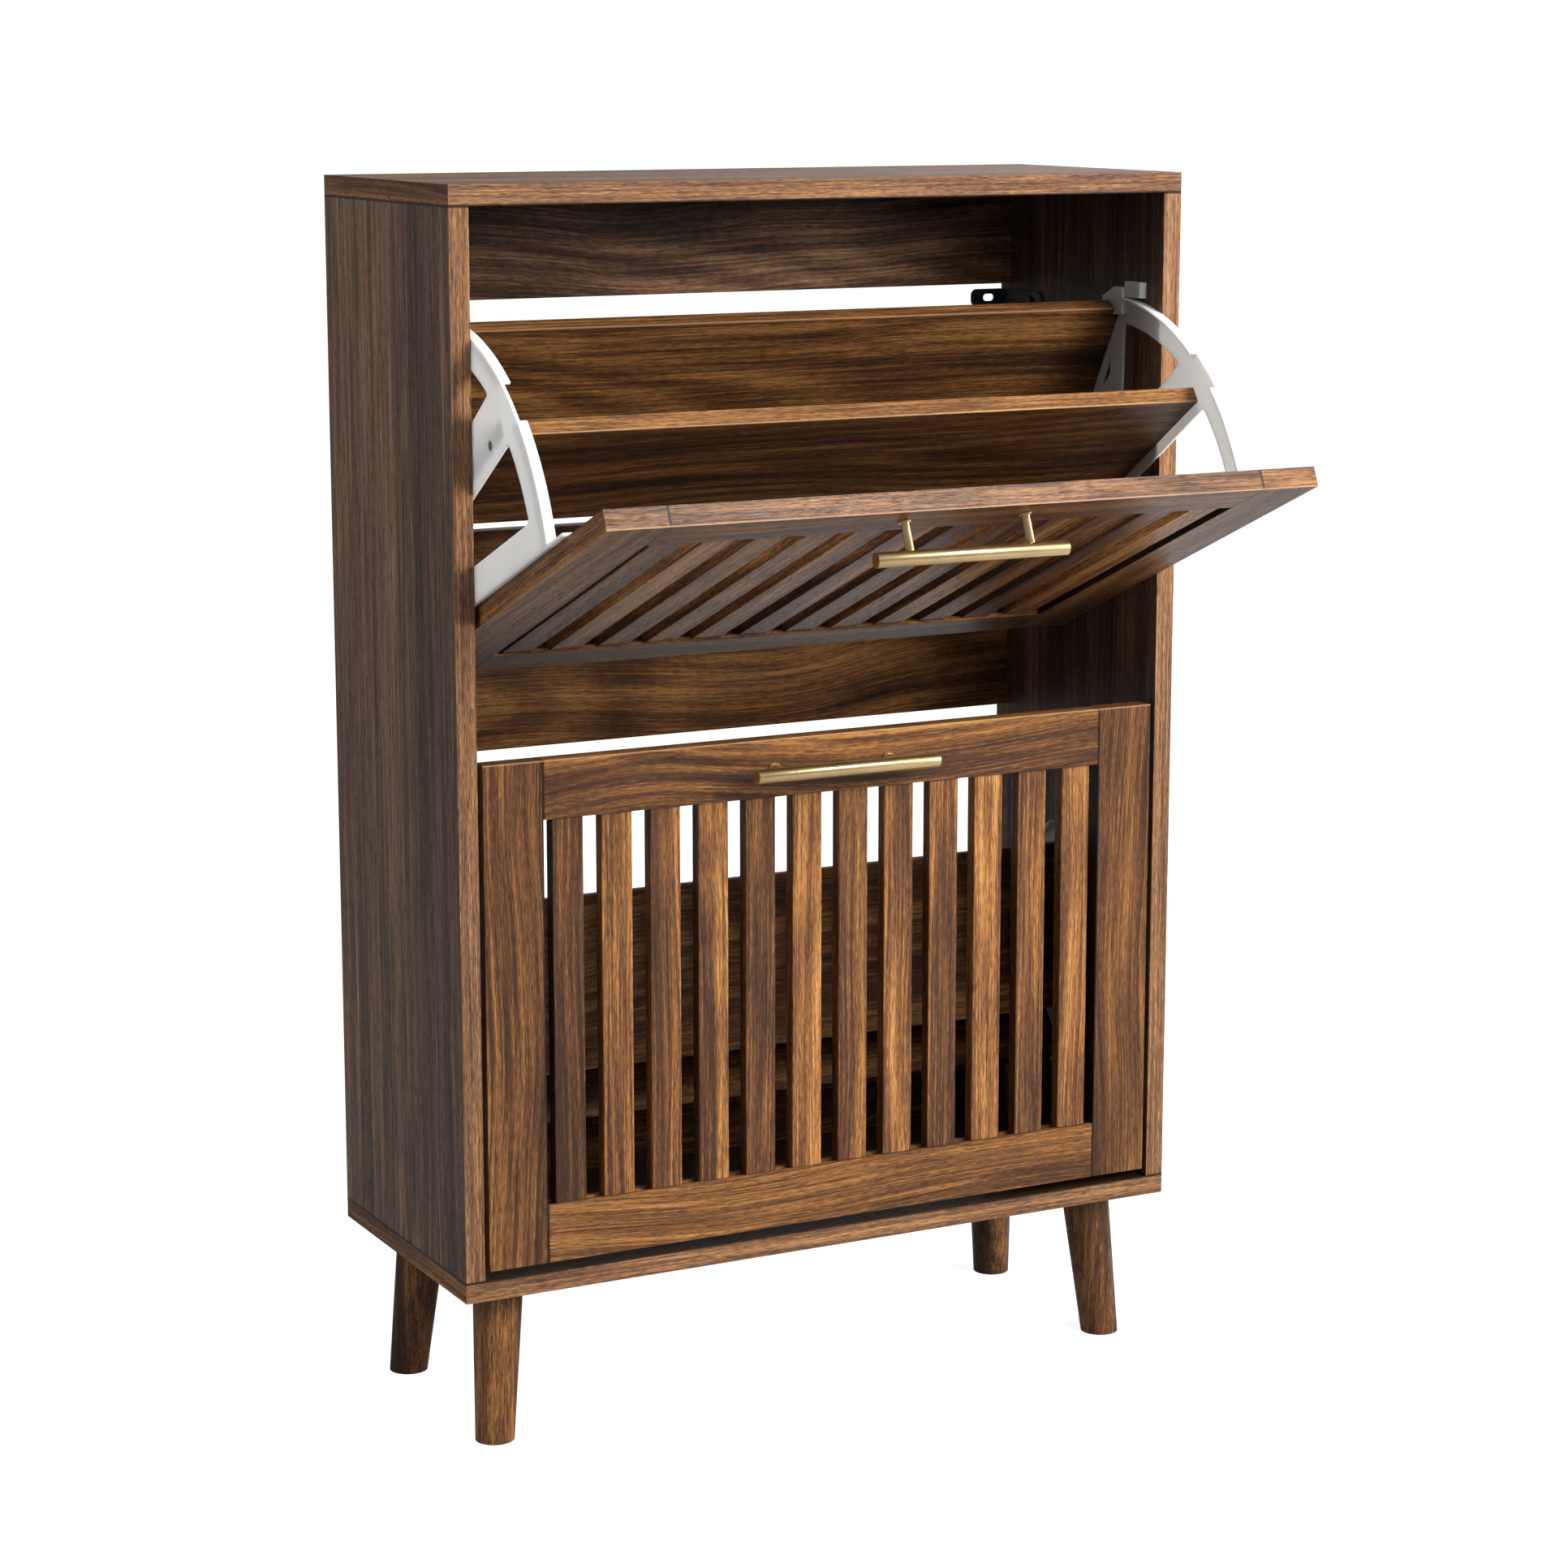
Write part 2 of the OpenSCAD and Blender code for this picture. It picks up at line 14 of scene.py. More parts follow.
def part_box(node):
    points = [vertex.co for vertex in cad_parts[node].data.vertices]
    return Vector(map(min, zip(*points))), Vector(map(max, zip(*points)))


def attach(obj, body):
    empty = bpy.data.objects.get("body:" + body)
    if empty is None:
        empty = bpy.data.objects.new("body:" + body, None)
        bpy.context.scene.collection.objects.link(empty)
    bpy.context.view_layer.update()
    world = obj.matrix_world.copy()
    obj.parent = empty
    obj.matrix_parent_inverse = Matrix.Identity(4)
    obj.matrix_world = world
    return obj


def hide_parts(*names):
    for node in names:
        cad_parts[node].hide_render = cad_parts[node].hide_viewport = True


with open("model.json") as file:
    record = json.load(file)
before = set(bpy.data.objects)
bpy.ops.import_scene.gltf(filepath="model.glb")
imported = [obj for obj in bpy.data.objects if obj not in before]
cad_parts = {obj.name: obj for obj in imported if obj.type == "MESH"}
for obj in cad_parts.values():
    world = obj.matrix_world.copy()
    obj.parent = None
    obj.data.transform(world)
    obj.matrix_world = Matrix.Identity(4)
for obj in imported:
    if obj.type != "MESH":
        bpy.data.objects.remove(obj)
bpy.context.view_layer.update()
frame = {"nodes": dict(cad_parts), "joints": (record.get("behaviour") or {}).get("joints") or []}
nodes = frame["nodes"]
joints = {joint["name"]: joint for joint in frame["joints"]}

MM = 0.001
SEAM_HALF_WIDTH = 0.95 * MM
ARRIS_R = 0.8 * MM
OPEN_ANGLE = math.radians(joints["lower_tilt"]["range_deg"][1])
UPPER_PIVOT = Vector(joints["upper_tilt"]["pos_m"])
LOWER_PIVOT = Vector(joints["lower_tilt"]["pos_m"])


# ---------- Node helpers ----------

class Shader:
    """A material's node tree with short calls for what the materials here need."""

    def __init__(self, name, **principled):
        self.material = bpy.data.materials.new(name)
        self.material.use_nodes = True
        self.tree = self.material.node_tree
        self.surface = self.tree.nodes["Principled BSDF"]
        for socket, value in principled.items():
            self.surface.inputs[socket.replace("_", " ")].default_value = value

    def link(self, source, node, socket):
        self.tree.links.new(source, node.inputs[socket])

    def add(self, kind, **settings):
        node = self.tree.nodes.new(kind)
        for key, value in settings.items():
            setattr(node, key, value)
        return node

    def feed(self, node, socket, value):
        """value is another node's output, or a constant for the socket."""
        if isinstance(value, bpy.types.NodeSocket):
            self.link(value, node, socket)
        else:
            node.inputs[socket].default_value = value

    def math(self, operation, a, b=0.0, c=0.0, clamp=False):
        node = self.add("ShaderNodeMath", operation=operation, use_clamp=clamp)
        for i, value in enumerate((a, b, c)):
            self.feed(node, i, value)
        return node.outputs[0]

    def mix(self, factor, a, b):
        """A plain number mixed from a to b."""
        node = self.add("ShaderNodeMix", data_type="FLOAT")
        self.feed(node, 0, factor)
        self.feed(node, 2, a)
        self.feed(node, 3, b)
        return node.outputs[0]

    def blend(self, factor, a, b, mode="MIX"):
        """A colour mixed from a to b."""
        node = self.add("ShaderNodeMix", data_type="RGBA", blend_type=mode)
        self.feed(node, 0, factor)
        self.feed(node, 6, a)
        self.feed(node, 7, b)
        return node.outputs[2]

    def split(self, vector):
        node = self.add("ShaderNodeSeparateXYZ")
        self.link(vector, node, 0)
        return node.outputs

    def join(self, x, y, z):
        node = self.add("ShaderNodeCombineXYZ")
        for i, value in enumerate((x, y, z)):
            self.feed(node, i, value)
        return node.outputs[0]

    def mapped(self, vector, location=(0, 0, 0), rotation=(0, 0, 0), scale=(1, 1, 1)):
        node = self.add("ShaderNodeMapping")
        self.link(vector, node, 0)
        node.inputs["Location"].default_value = location
        node.inputs["Rotation"].default_value = rotation
        node.inputs["Scale"].default_value = scale
        return node.outputs[0]

    def noise(self, vector, scale=1.0, detail=2.0, rough=0.5, distortion=0.0):
        node = self.add("ShaderNodeTexNoise")
        self.link(vector, node, "Vector")
        node.inputs["Scale"].default_value = scale
        node.inputs["Detail"].default_value = detail
        node.inputs["Roughness"].default_value = rough
        node.inputs["Distortion"].default_value = distortion
        return node.outputs[0]

    def vector_math(self, operation, a, b):
        """a is a vector from a node, b another one or a constant vector."""
        node = self.add("ShaderNodeVectorMath", operation=operation)
        self.feed(node, 0, a)
        self.feed(node, 1, b)
        return node.outputs

    def ramp(self, factor, *stops):
        """stops are (position, colour or grey)."""
        node = self.add("ShaderNodeValToRGB")
        self.link(factor, node, 0)
        elements = node.color_ramp.elements
        while len(elements) < len(stops):
            elements.new(0.5)
        for element, (position, colour) in zip(elements, stops):
            element.position = position
            if isinstance(colour, (int, float)):
                colour = (colour,) * 3
            element.color = (*colour, 1.0)
        return node.outputs[0]

    def bump(self, height, strength, distance):
        node = self.add("ShaderNodeBump")
        node.inputs["Strength"].default_value = strength
        node.inputs["Distance"].default_value = distance
        self.link(height, node, "Height")
        self.link(node.outputs[0], self.surface, "Normal")

    def coordinates(self, tilt=0.0):
        """Object position and normal, turned back by a flap's tilt."""
        source = self.add("ShaderNodeTexCoord")
        position = self.mapped(source.outputs["Object"], rotation=(-tilt, 0, 0))
        normal = self.mapped(source.outputs["Normal"], rotation=(-tilt, 0, 0))
        return position, normal


# ---------- Materials ----------

def tone(red, green, blue):
    """A colour given as it looks on screen, 0 to 255, made linear for a shader."""
    return tuple(((c / 255 + 0.055) / 1.055) ** 2.4 for c in (red, green, blue))


WALNUT_DARK = tone(43, 29, 22)
WALNUT_BROWN = tone(70, 44, 28)
WALNUT_MID = tone(98, 64, 36)
WALNUT_GOLD = tone(132, 89, 48)
WALNUT_PALE = tone(166, 118, 68)
PORE = tone(34, 24, 18)
SEAM = tone(18, 12, 9)
# Colour of the painted highlight along the front arrises.
PAINTED_EDGE_HIGHLIGHT = tone(196, 152, 112)


class Walnut:
    """Settings of one walnut surface. Lengths are in metres across the grain.

    light scales the tone. sway is how far the fibres wander, band and streak are the contrast
    of the wide bands and the thin streaks, fleck that of the short dashes, and figure that of
    the long contour lines. grey takes colour out, and gloss is the strength of reflections.
    """

    def __init__(self, light=1.0, sway=0.03, band=1.1, streak=1.0, fleck=0.7, figure=0.05,
                 grey=0.0, gloss=0.25):
        self.light = light
        self.sway = sway
        self.band = band
        self.streak = streak
        self.fleck = fleck
        self.figure = figure
        self.grey = grey
        self.gloss = gloss


BOARD = Walnut(light=0.54, sway=0.07, figure=0.09)
# Painted light and sheen: the board walnut made lighter and greyer for the top back rail, which sits in the
# top panel's shadow.
RAIL_WITH_PAINTED_LIGHT = Walnut(light=0.95, sway=0.07, figure=0.09, grey=0.15)
FRAME = Walnut(sway=0.05)
SIDE = Walnut(light=0.76, sway=0.012, band=0.8, streak=1.1, fleck=0.5, figure=0.02, grey=0.22,
              gloss=0.3)
SLAT = Walnut(light=1.3, sway=0.018, band=1.3, figure=0.05)
EDGING = Walnut(light=1.14, sway=0.01, band=0.35, streak=0.8, fleck=0.7, figure=0.0, grey=0.1)
BOARD_EDGE = Walnut(light=0.78, sway=0.02, band=0.7)
DOOR_EDGE = Walnut(light=0.85, sway=0.02, band=0.7)
LEG = Walnut(light=0.9, sway=0.03, band=1.3)


MEAN_TONE = 0.47
FIGURE_LINES = 110.0
EDGING_SHIFT = 0.06
SLAT_TONE_RANGE = 0.11
SLAT_TONE_MEAN = 0.45
SLAT_STOCK_APART = (3.0, 3.0, 3.0)
SLATS_BEFORE_ZERO = 40.0
SEAM_STRENGTH = 0.9
SEAM_FADE = 1.6
# Strength and width of the painted arris highlight.
ARRIS_STRENGTH = 0.35
ARRIS_FADE = 1.8
FACING = 0.7


def grain_noise(s, vector, across, along, detail, rough=0.5):
    """Noise about 0, stretched along the grain. The scales are per metre."""
    field = s.noise(s.mapped(vector, scale=(across, across, along)), detail=detail, rough=rough)
    return s.math("SUBTRACT", field, 0.5)


def wood_tone(s, look, vector, shift):
    """0 for the darkest wood to 1 for the palest, with the flecks and the pores' mask."""
    wander = grain_noise(s, vector, 2.5, 3.0, detail=1.0)
    sideways = s.join(s.math("MULTIPLY", wander, look.sway), 0.0, 0.0)
    vector = s.vector_math("ADD", vector, sideways)[0]
    bands = grain_noise(s, vector, 30, 0.8, detail=3.0)
    stripes = grain_noise(s, vector, 170, 3.5, detail=2.0)
    streaks = grain_noise(s, vector, 640, 9, detail=2.0, rough=0.6)
    flecks = grain_noise(s, vector, 1700, 130, detail=1.5)
    value = s.math("MULTIPLY_ADD", bands, look.band, MEAN_TONE)
    value = s.math("ADD", value, shift)
    value = s.math("MULTIPLY_ADD", stripes, 0.6 * look.streak, value)
    value = s.math("MULTIPLY_ADD", streaks, look.streak, value)
    value = s.math("MULTIPLY_ADD", flecks, look.fleck, value)
    if look.figure:
        field = s.noise(s.mapped(vector, scale=(8, 8, 1.2)), detail=0.5)
        contour = s.math("SINE", s.math("MULTIPLY", field, FIGURE_LINES))
        value = s.math("MULTIPLY_ADD", contour, -look.figure, value)
    pores = s.noise(s.mapped(vector, location=(3, 1, 7), scale=(1500, 1500, 90)), detail=1.0)
    return value, flecks, s.ramp(pores, (0.56, 0.0), (0.64, 1.0))


def wood_colour(s, look, value, pores):
    colour = s.ramp(value, (0.10, WALNUT_DARK), (0.32, WALNUT_BROWN), (0.50, WALNUT_MID),
                    (0.68, WALNUT_GOLD), (0.90, WALNUT_PALE))
    colour = s.blend(s.math("MULTIPLY", pores, 0.55), colour, (*PORE, 1))
    shade = s.add("ShaderNodeHueSaturation")
    shade.inputs["Saturation"].default_value = 1.0 - look.grey
    shade.inputs["Value"].default_value = look.light
    s.link(colour, shade, "Color")
    return shade.outputs[0]


def seam_mask(s, xyz, seams):
    """1 on the thin joint lines at the given (axis, place) planes."""
    mask = 0.0
    for axis, place in seams:
        distance = s.math("ABSOLUTE", s.math("SUBTRACT", xyz["xyz".index(axis)], place))
        line = s.math("SUBTRACT", SEAM_FADE, s.math("DIVIDE", distance, SEAM_HALF_WIDTH), clamp=True)
        mask = s.math("MAXIMUM", mask, line)
    return mask


def arris_highlight_mask(s, y, z, arrises):
    """1 on the edges that run along x at the given (y, z), where a thin pale highlight is painted."""
    mask = 0.0
    for edge_y, edge_z in arrises:
        away = s.join(s.math("SUBTRACT", y, edge_y), s.math("SUBTRACT", z, edge_z), 0.0)
        length = s.vector_math("LENGTH", away, (0, 0, 0))["Value"]
        line = s.math("SUBTRACT", ARRIS_FADE, s.math("DIVIDE", length, ARRIS_R), clamp=True)
        mask = s.math("MAXIMUM", mask, line)
    return mask


def grain_space(s, grain, seed, position, normal):
    """Coordinates with the grain along their third axis, shifted by the piece's seed."""
    x, y, z = s.split(position)[:]
    nx, _, nz = s.split(normal)[:]
    along, across, facing = (x, z, nx) if grain == "x" else (z, x, nz)
    end_along, end_across = (y, z) if grain == "x" else (x, y)
    on_end = s.math("GREATER_THAN", s.math("ABSOLUTE", facing), FACING)
    across = s.mix(on_end, across, end_across)
    depth = s.mix(on_end, y, along)
    length = s.mix(on_end, along, end_along)
    return s.mapped(s.join(across, depth, length), location=(seed * 1.37, seed * 0.71, seed * 2.13))


def slat_stock(s, x, vector, pitch, seed):
    """Each slat's own part of the wood, and its own shift of tone."""
    index = s.math("FLOOR", s.math("ADD", s.math("DIVIDE", x, pitch), SLATS_BEFORE_ZERO))
    stock = s.add("ShaderNodeTexWhiteNoise", noise_dimensions="1D")
    s.link(s.math("ADD", index, seed), stock, "W")
    moved = s.add("ShaderNodeVectorMath", operation="MULTIPLY_ADD")
    s.link(stock.outputs["Color"], moved, 0)
    moved.inputs[1].default_value = SLAT_STOCK_APART
    s.link(vector, moved, 2)
    off_mean = s.math("SUBTRACT", stock.outputs["Value"], SLAT_TONE_MEAN)
    return moved.outputs[0], s.math("MULTIPLY", off_mean, SLAT_TONE_RANGE)


def walnut(name, grain, seed, look, tilt=0.0, edging=None, edging_to=(0, -1, 0), slat_pitch=None,
           seams=(), arrises=()):
    """Satin walnut with its grain along x or z before the flap's tilt.

    edging is the look of the faces that point to edging_to. With slat_pitch each slat has its
    own stock. seams are the joints with neighbouring pieces, drawn as thin dark lines.
    """
    s = Shader(name, Roughness=0.42, Specular_IOR_Level=look.gloss)
    position, normal = s.coordinates(tilt)
    x, y, z = s.split(position)[:]
    vector = grain_space(s, grain, seed, position, normal)
    shift = 0.0
    if slat_pitch:
        vector, shift = slat_stock(s, x, vector, slat_pitch, seed)
    value, flecks, pores = wood_tone(s, look, vector, shift)
    colour = wood_colour(s, look, value, pores)
    if edging:
        edge_value, _, edge_pores = wood_tone(s, edging, vector, EDGING_SHIFT)
        towards = s.vector_math("DOT_PRODUCT", normal, edging_to)["Value"]
        is_edge = s.math("GREATER_THAN", towards, FACING)
        colour = s.blend(is_edge, colour, wood_colour(s, edging, edge_value, edge_pores))
    if seams:
        joint = s.math("MULTIPLY", seam_mask(s, (x, y, z), seams), SEAM_STRENGTH)
        colour = s.blend(joint, colour, (*SEAM, 1))
    # Painted highlight: a thin pale line along the given arrises.
    if arrises:
        edge_highlight = s.math("MULTIPLY", arris_highlight_mask(s, y, z, arrises), ARRIS_STRENGTH)
        colour = s.blend(edge_highlight, colour, (*PAINTED_EDGE_HIGHLIGHT, 1))
    s.link(colour, s.surface, "Base Color")
    rough = s.math("MULTIPLY_ADD", pores, 0.2, s.math("MULTIPLY_ADD", flecks, 0.15, 0.36))
    s.link(rough, s.surface, "Roughness")
    s.bump(s.math("SUBTRACT", s.math("MULTIPLY", flecks, 0.6), pores), 0.25, 0.0002)
    return s.material


def beech(name):
    s = Shader(name, Roughness=0.6)
    position, _ = s.coordinates()
    fibres = s.noise(s.mapped(position, scale=(60, 700, 700)), detail=3.0)
    s.link(s.ramp(fibres, (0.3, (0.50, 0.34, 0.19)), (0.7, (0.68, 0.50, 0.31))), s.surface, "Base Color")
    return s.material


def brass(name, tilt=0.0):
    """Satin brass, brushed round the bar."""
    s = Shader(name, Metallic=1.0, Roughness=0.24)
    position, _ = s.coordinates(tilt)
    brushed = s.noise(s.mapped(position, scale=(3200, 60, 60)), detail=2.0)
    cloud = s.noise(position, scale=60.0, detail=2.0)
    s.link(s.ramp(cloud, (0.3, (0.77, 0.56, 0.28)), (0.7, (0.88, 0.66, 0.35))), s.surface, "Base Color")
    s.link(s.math("MULTIPLY_ADD", brushed, 0.16, 0.26), s.surface, "Roughness")
    s.bump(brushed, 0.08, 0.0001)
    return s.material


def moulded_plastic(name, tint=(0.67, 0.67, 0.66)):
    s = Shader(name, Roughness=0.42, Specular_IOR_Level=0.45, Subsurface_Weight=0.8, Subsurface_Scale=0.008)
    s.surface.inputs["Subsurface Radius"].default_value = (1.0, 0.98, 0.94)
    position, _ = s.coordinates()
    cloud = s.noise(position, scale=14.0, detail=3.0)
    grain = s.noise(position, scale=2600.0, detail=1.0)
    darker = tuple(c * 0.94 for c in tint)
    s.link(s.ramp(cloud, (0.3, darker), (0.7, tint)), s.surface, "Base Color")
    s.link(s.math("MULTIPLY_ADD", cloud, 0.12, 0.36), s.surface, "Roughness")
    s.bump(grain, 0.10, 0.0001)
    return s.material


def coated_steel(name):
    """Black powder coat."""
    s = Shader(name, Roughness=0.4, Specular_IOR_Level=0.5)
    position, _ = s.coordinates()
    orange_peel = s.noise(position, scale=900.0, detail=2.0)
    s.link(s.ramp(orange_peel, (0.3, (0.012, 0.012, 0.013)), (0.7, (0.028, 0.028, 0.030))),
           s.surface, "Base Color")
    s.link(s.math("MULTIPLY_ADD", orange_peel, 0.2, 0.28), s.surface, "Roughness")
    s.bump(orange_peel, 0.25, 0.0002)
    return s.material


def zinc_steel(name):
    s = Shader(name, Metallic=1.0, Roughness=0.32)
    position, _ = s.coordinates()
    cloud = s.noise(position, scale=300.0, detail=3.0)
    s.link(s.ramp(cloud, (0.3, (0.50, 0.50, 0.51)), (0.7, (0.66, 0.66, 0.67))), s.surface, "Base Color")
    s.link(s.math("MULTIPLY_ADD", cloud, 0.2, 0.22), s.surface, "Roughness")
    return s.material


# ---------- CAD pieces that show ----------

def soften(obj, width, segments):
    weld = obj.modifiers.new("weld", "WELD")
    weld.merge_threshold = 0.005 * MM
    bevel = obj.modifiers.new("edges", "BEVEL")
    bevel.width = width
    bevel.segments = segments
    bevel.limit_method = "ANGLE"
    bevel.angle_limit = math.radians(35)
    bevel.harden_normals = True


def dress(name, material, edge=0.7 * MM, segments=2):
    """Gives a CAD node its material and softens its sharp edges."""
    obj = nodes[name]
    obj.data.materials.clear()
    obj.data.materials.append(material)
    if edge:
        soften(obj, edge, segments)
    return obj


BOARD_T = 12 * MM
BOARD_TILTS = {"middle_board": 10.9, "rear_board": 37.9}
RAIL_LOW, RAIL_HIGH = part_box("lower_top_rail")
SIDE_LOW, SIDE_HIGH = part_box("left_side_panel")
SLAT_PITCH = (RAIL_HIGH.x - RAIL_LOW.x) / 12
SIDE_JOINTS = [("z", SIDE_LOW.z), ("z", SIDE_HIGH.z)]
DOOR_JOINTS = [("x", RAIL_LOW.x), ("x", RAIL_HIGH.x)]


def dress_cabinet():
    for name, wood, grain, seed, look in (
        ("top_panel", "walnut_top", "x", 1, FRAME),
        ("bottom_panel", "walnut_bottom", "x", 2, FRAME),
        ("left_side_panel", "walnut_side_left", "z", 3, SIDE),
        ("right_side_panel", "walnut_side_right", "z", 4, SIDE),
    ):
        dress(name, walnut(wood, grain, seed, look, edging=EDGING, seams=SIDE_JOINTS))
    # The top back rail takes the look with painted light and sheen.
    for place, seed, look in (("top", 5, RAIL_WITH_PAINTED_LIGHT), ("mid", 6, BOARD), ("bottom", 7, BOARD)):
        dress(f"{place}_back_rail", walnut(f"walnut_back_{place}", "x", seed, look))
    for number, leg in enumerate(("front_left", "front_right", "rear_left", "rear_right")):
        wood = walnut(f"walnut_leg_{leg}", "z", 20 + number, LEG)
        dress(f"{leg}_leg", wood, edge=1.2 * MM, segments=3)
    dress("panel_dowels", beech("beech_panels"), edge=0)


def dress_flap(flap, tilt, pivot, seed):
    """The wood and brass of one flap. Its wood's coordinates are those of the closed lower flap."""
    turned_back = pivot.copy()
    turned_back.rotate(Matrix.Rotation(-tilt, 3, "X"))
    from_lower = turned_back - LOWER_PIVOT
    # The doors' front top arris, where a highlight is painted.
    top_edge = from_lower + Vector((0, RAIL_LOW.y, RAIL_HIGH.z))
    for number, (part, grain) in enumerate((
        ("left_stile", "z"), ("right_stile", "z"), ("top_rail", "x"), ("bottom_rail", "x"),
    )):
        wood = walnut(f"walnut_{flap}_{part}", grain, seed + number, FRAME, tilt, edging=DOOR_EDGE,
                      edging_to=(0, 0, 1), seams=DOOR_JOINTS, arrises=[(top_edge.y, top_edge.z)])
        dress(f"{flap}_{part}", wood)
    # Each board's top front corner gets a painted highlight.
    for number, (part, board_tilt) in enumerate(BOARD_TILTS.items()):
        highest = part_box(f"lower_{part}")[1]
        corner_y = highest.y - BOARD_T * math.cos(math.radians(board_tilt))
        corner = from_lower + Vector((0, corner_y, highest.z))
        wood = walnut(f"walnut_{flap}_{part}", "x", seed + 4 + number, BOARD, tilt, edging=BOARD_EDGE,
                      edging_to=(0, 0, 1), arrises=[(corner.y, corner.z)])
        dress(f"{flap}_{part}", wood)
    slats = walnut(f"walnut_{flap}_slats", "z", seed + 9, SLAT, tilt, slat_pitch=SLAT_PITCH)
    dress(f"{flap}_slats", slats)
    dress(f"{flap}_door_dowels", beech(f"beech_{flap}"), edge=0)
    metal = brass(f"brass_{flap}", tilt)
    dress(f"{flap}_handle_bar", metal, edge=0.6 * MM)
    dress(f"{flap}_handle_posts", metal, edge=0.25 * MM)


def dress_fittings(plastic):
    zinc = zinc_steel("zinc")
    black = coated_steel("black_coat")
    for name in nodes:
        if "wall_bracket" in name:
            dress(name, black, edge=0.3 * MM)
        elif name.endswith("_bracket") or "stop_blocks" in name:
            dress(name, plastic, edge=0.4 * MM)
        elif "screws" in name or "cam" in name or "pins" in name or name in ("leg_bolts", "leg_inserts"):
            dress(name, zinc, edge=0.2 * MM)


dress_cabinet()
dress_flap("upper", OPEN_ANGLE, UPPER_PIVOT, 40)
dress_flap("lower", 0.0, LOWER_PIVOT, 60)
white_plastic = moulded_plastic("white_plastic")
dress_fittings(white_plastic)


# ---------- Moulded side brackets ----------

BRACKET_PLATE_T = 2.2 * MM
WINDOW_CORNER_R = 4 * MM


def is_window_corner(edge):
    """True for a sharp inner corner that runs through the bracket's plate."""
    a, b = (vert.co for vert in edge.verts)
    through = abs(abs(a.x - b.x) - BRACKET_PLATE_T) <= 0.1 * MM
    straight = abs(a.y - b.y) + abs(a.z - b.z) <= 0.1 * MM
    if not (through and straight and len(edge.link_faces) == 2):
        return False
    return edge.calc_face_angle_signed() < -math.radians(20)


def moulded_bracket(flap, side):
    """The side bracket with round corners to its windows, as it comes out of a mould."""
    source = nodes[f"{flap}_{side}_bracket"]
    mesh = source.data.copy()
    work = bmesh.new()
    work.from_mesh(mesh)
    bmesh.ops.remove_doubles(work, verts=work.verts, dist=0.002 * MM)
    bmesh.ops.dissolve_limit(work, angle_limit=math.radians(0.5), verts=work.verts, edges=work.edges)
    corners = [edge for edge in work.edges if is_window_corner(edge)]
    bmesh.ops.bevel(work, geom=corners, offset=WINDOW_CORNER_R, segments=6, profile=0.5,
                    affect="EDGES", clamp_overlap=True)
    work.to_mesh(mesh)
    work.free()
    obj = bpy.data.objects.new(f"{flap}_{side}_moulded_bracket", mesh)
    bpy.context.scene.collection.objects.link(obj)
    mesh.materials.clear()
    mesh.materials.append(white_plastic)
    soften(obj, 0.4 * MM, 2)
    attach(obj, f"{flap}_flap")
    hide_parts(source.name)


for flap in ("upper", "lower"):
    for side in ("left", "right"):
        moulded_bracket(flap, side)


# ---------- Floor, light and camera ----------

def area_light(name, place, target, size, power):
    light = bpy.data.lights.new(name, "AREA")
    light.shape = "RECTANGLE"
    light.size, light.size_y = size
    light.energy = power
    obj = bpy.data.objects.new(name, light)
    bpy.context.scene.collection.objects.link(obj)
    obj.location = place
    obj.rotation_euler = (Vector(target) - Vector(place)).to_track_quat("-Z", "Y").to_euler()
    return obj


def sun(name, azimuth, height, strength, softness):
    """A soft light from a direction: azimuth 0 is straight in front, 90 is from the right."""
    light = bpy.data.lights.new(name, "SUN")
    light.energy = strength
    light.angle = math.radians(softness)
    obj = bpy.data.objects.new(name, light)
    bpy.context.scene.collection.objects.link(obj)
    turn, rise = math.radians(azimuth), math.radians(height)
    towards = Vector((math.sin(turn) * math.cos(rise), -math.cos(turn) * math.cos(rise), math.sin(rise)))
    obj.rotation_euler = towards.to_track_quat("Z", "Y").to_euler()
    return obj


FLOOR_REACH = 40.0
FLOOR_GLOW = 0.88
FLOOR_TONE = 0.30
FLOOR_SPREAD = 0.24
FLOOR_MIRRORED = 0.6
BRIGHT_FROM_FRONT = 0.4
BRIGHT_AT_RIGHT = 0.6


def floor():
    """A plain white floor. It shows white and lights the object less than it shows.

    Reflections see it bright only to the right and towards the wall.
    """
    reach = FLOOR_REACH
    corners = [(-reach, -reach, 0), (reach, -reach, 0), (reach, reach, 0), (-reach, reach, 0)]
    mesh = bpy.data.meshes.new("floor")
    mesh.from_pydata(corners, [], [(0, 1, 2, 3)])
    obj = bpy.data.objects.new("floor", mesh)
    bpy.context.scene.collection.objects.link(obj)
    s = Shader("floor", Roughness=0.9, Specular_IOR_Level=0.1)
    path = s.add("ShaderNodeLightPath")
    x, y, _ = s.split(s.coordinates()[0])[:]
    to_wall = s.math("ADD", y, BRIGHT_FROM_FRONT, clamp=True)
    to_right = s.math("DIVIDE", x, BRIGHT_AT_RIGHT, clamp=True)
    bright = s.math("MULTIPLY", to_wall, to_right)
    glossy = s.math("MULTIPLY", path.outputs["Is Glossy Ray"], bright)
    mirrored = s.math("MULTIPLY", glossy, FLOOR_MIRRORED)
    seen = s.math("MAXIMUM", path.outputs["Is Camera Ray"], mirrored)
    s.surface.inputs["Emission Color"].default_value = (1, 1, 1, 1)
    s.link(s.math("MULTIPLY", seen, FLOOR_GLOW), s.surface, "Emission Strength")
    grey = s.mix(seen, FLOOR_SPREAD, FLOOR_TONE)
    s.link(s.join(grey, grey, grey), s.surface, "Base Color")
    mesh.materials.append(s.material)


ROOM_GLOW = 1.05
AMBIENT = 0.19
ROOM_MIRRORED = 0.25
CORNER_MIRRORED = 1.0
CORNER_FROM = 0.30
CORNER_FULL = 0.60


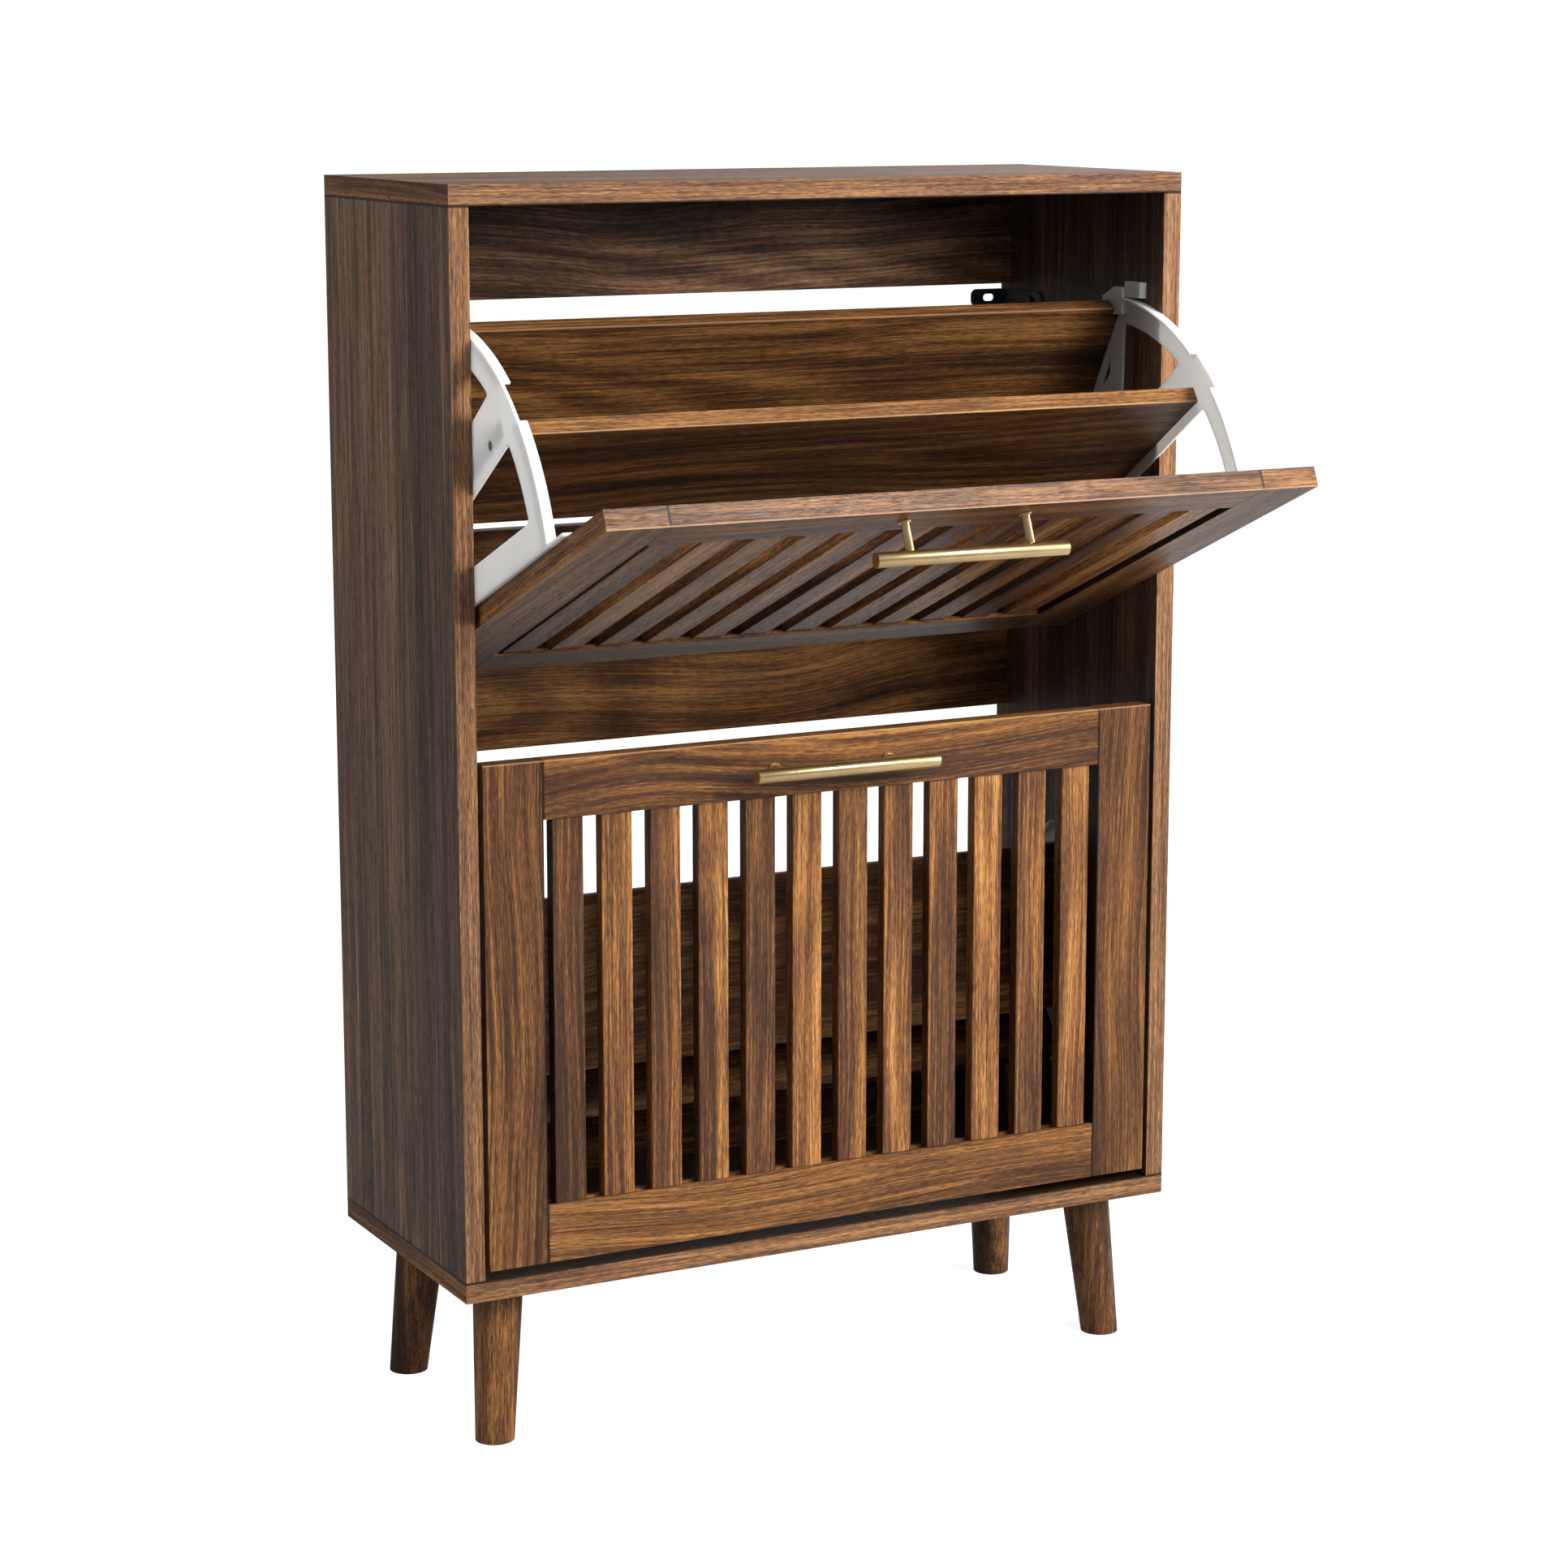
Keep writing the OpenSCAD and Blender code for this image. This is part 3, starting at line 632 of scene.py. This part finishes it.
def mixed(tree, factor, a, b):
    """A number mixed from a to b in the world's nodes. a and b are outputs or constants."""
    node = tree.nodes.new("ShaderNodeMix")
    node.data_type = "FLOAT"
    tree.links.new(factor, node.inputs[0])
    for slot, value in ((2, a), (3, b)):
        if isinstance(value, bpy.types.NodeSocket):
            tree.links.new(value, node.inputs[slot])
        else:
            node.inputs[slot].default_value = value
    return node.outputs[0]


def white_room():
    """A white room that lights the object softly. Reflections see only its back right bright."""
    world = bpy.data.worlds.new("studio")
    bpy.context.scene.world = world
    world.use_nodes = True
    tree = world.node_tree
    background = tree.nodes["Background"]
    background.inputs["Color"].default_value = (1, 1, 1, 1)
    path = tree.nodes.new("ShaderNodeLightPath")
    towards = tree.nodes.new("ShaderNodeTexCoord")
    split = tree.nodes.new("ShaderNodeSeparateXYZ")
    tree.links.new(towards.outputs["Generated"], split.inputs[0])
    back_right = tree.nodes.new("ShaderNodeMath")
    back_right.operation = "MINIMUM"
    tree.links.new(split.outputs["X"], back_right.inputs[0])
    tree.links.new(split.outputs["Y"], back_right.inputs[1])
    mirrored = tree.nodes.new("ShaderNodeMapRange")
    mirrored.interpolation_type = "SMOOTHSTEP"
    for socket, value in (("From Min", CORNER_FROM), ("From Max", CORNER_FULL),
                          ("To Min", ROOM_MIRRORED), ("To Max", CORNER_MIRRORED)):
        mirrored.inputs[socket].default_value = value
    tree.links.new(back_right.outputs[0], mirrored.inputs["Value"])
    spread = mixed(tree, path.outputs["Is Glossy Ray"], AMBIENT, mirrored.outputs[0])
    shown = mixed(tree, path.outputs["Is Camera Ray"], spread, ROOM_GLOW)
    tree.links.new(shown, background.inputs["Strength"])


def lights():
    """Soft lights. The unmirrored ones colour the wood without a haze of gloss over it."""
    front = area_light("front", (0.5, -3.2, 1.9), (0, 0, 0.5), (1.4, 1.4), 36)
    key = area_light("key", (1.5, -2.5, 1.6), (0, 0, 0.5), (1.2, 1.2), 120)
    area_light("glint", (1.5, -2.6, 2.6), (0, 0, 0.7), (1.0, 0.5), 58)
    area_light("right", (2.4, -0.9, 1.2), (0, 0, 0.6), (0.9, 1.2), 30)
    area_light("left", (-2.6, 0.1, 2.4), (-0.3, 0.1, 0.6), (1.2, 1.2), 46)
    top = sun("top", 15, 66, 1.1, 40)
    back = sun("back", 160, 20, 0.9, 60)
    for unmirrored in (front, key, top, back):
        unmirrored.visible_glossy = False


CAMERA_PLACE = (-1.2977, -2.4339, 1.0132)
CAMERA_TURN = 27.454
CAMERA_PITCH = 11.007
CAMERA_LENS = 86.213


def camera():
    """The camera is pitched down, so that it frames the cabinet with no shift."""
    data = bpy.data.cameras.new("camera")
    data.lens = CAMERA_LENS
    data.sensor_width = 36.0
    data.clip_end = 100.0
    obj = bpy.data.objects.new("camera", data)
    bpy.context.scene.collection.objects.link(obj)
    obj.location = CAMERA_PLACE
    obj.rotation_euler = (math.radians(90 - CAMERA_PITCH), 0, -math.radians(CAMERA_TURN))
    bpy.context.scene.camera = obj


floor()
white_room()
lights()
camera()
bpy.context.scene.view_settings.view_transform = "Standard"
